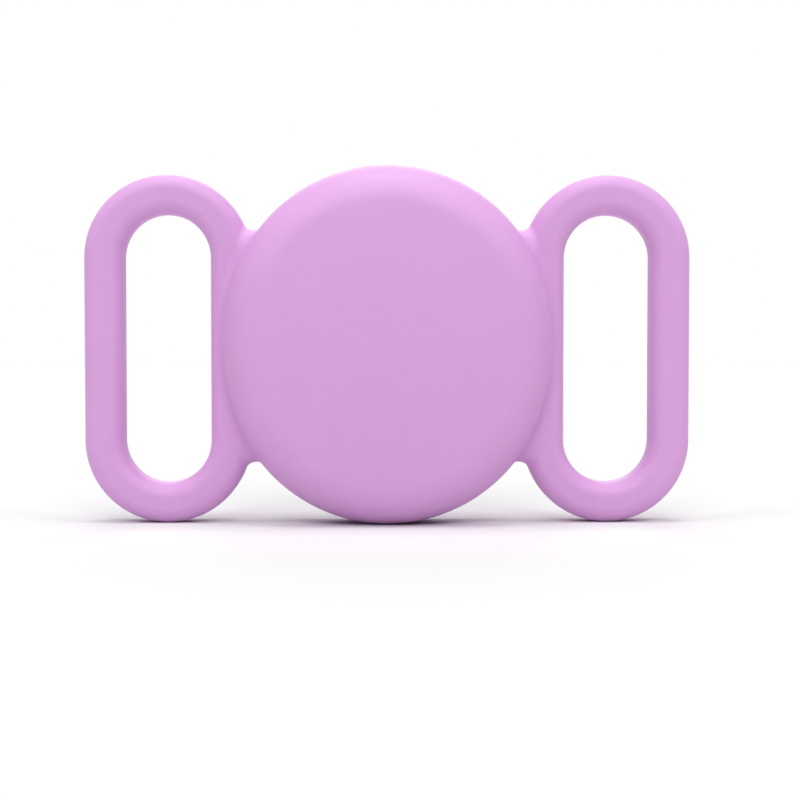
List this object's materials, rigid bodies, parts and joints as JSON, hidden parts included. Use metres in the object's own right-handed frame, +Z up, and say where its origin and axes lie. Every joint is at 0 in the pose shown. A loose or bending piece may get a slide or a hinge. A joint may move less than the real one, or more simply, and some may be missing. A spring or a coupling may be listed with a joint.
{
  "type": "tracker tag holder",
  "caption": "Soft silicone collar holder with a round closed-front pocket for a tracker tag, open at the back, and a strap loop on each side.",
  "frame": {"origin": "middle of the holder's lower edge, on the surface it stands on and at half its thickness", "axes": "+X to the right seen from the closed front, +Y from the closed front to the open back, +Z up"},
  "size_m": [0.0644, 0.0102, 0.0378],
  "materials": {
    "silicone": "soft matte lilac silicone",
    "white_shell": "glossy white polycarbonate",
    "white_chassis": "white polycarbonate",
    "polished_steel": "polished stainless steel",
    "plated_steel": "nickel-plated steel",
    "cell_steel": "drawn stainless steel",
    "magnet": "nickel-plated magnet alloy",
    "copper": "enamelled copper",
    "gold_spring": "gold-plated spring alloy",
    "board": "green solder mask",
    "chip": "black epoxy",
    "ceramic": "tan ceramic",
    "carrier": "dark grey moulding",
    "gasket": "moulded polypropylene",
    "anode": "dull light metal",
    "cathode": "pressed powder",
    "seal": "dark silicone rubber",
    "film": "white plastic film"
  },
  "bodies": {
    "holder": {"holder_body": "silicone"},
    "tag": {"tag_front_shell": "white_shell", "voice_coil": "copper", "coil_leads": "copper", "magnet_plate": "plated_steel", "speaker_magnet": "magnet", "speaker_yoke": "plated_steel", "circuit_board": "board", "radio_chip": "chip", "radio_shield": "plated_steel", "ranging_module": "plated_steel", "memory_chip": "chip", "motion_sensor": "chip", "sound_chip": "chip", "crystals": "plated_steel", "capacitors": "ceramic", "antenna_carrier": "carrier", "antenna_traces": "copper", "tag_chassis": "white_chassis", "negative_contact": "gold_spring", "positive_contacts": "gold_spring", "cell_can": "cell_steel", "cell_gasket": "gasket", "cell_cap": "cell_steel", "cell_anode": "anode", "cell_cathode": "cathode"},
    "cover": {"battery_cover": "polished_steel", "cover_lock_ring": "white_chassis", "cover_pad": "film", "cover_seal": "seal"}
  },
  "joints": [
    {"name": "tag_push_out", "type": "slide", "parent": "holder", "child": "tag", "axis": [0, 1, 0], "range_m": [0, 0.02], "deforming": ["holder_body"]},
    {"name": "cover_twist", "type": "hinge", "parent": "tag", "child": "cover", "pos_m": [0, 0, 0.0189], "axis": [0, 1, 0], "range_deg": [0, 25]}
  ]
}
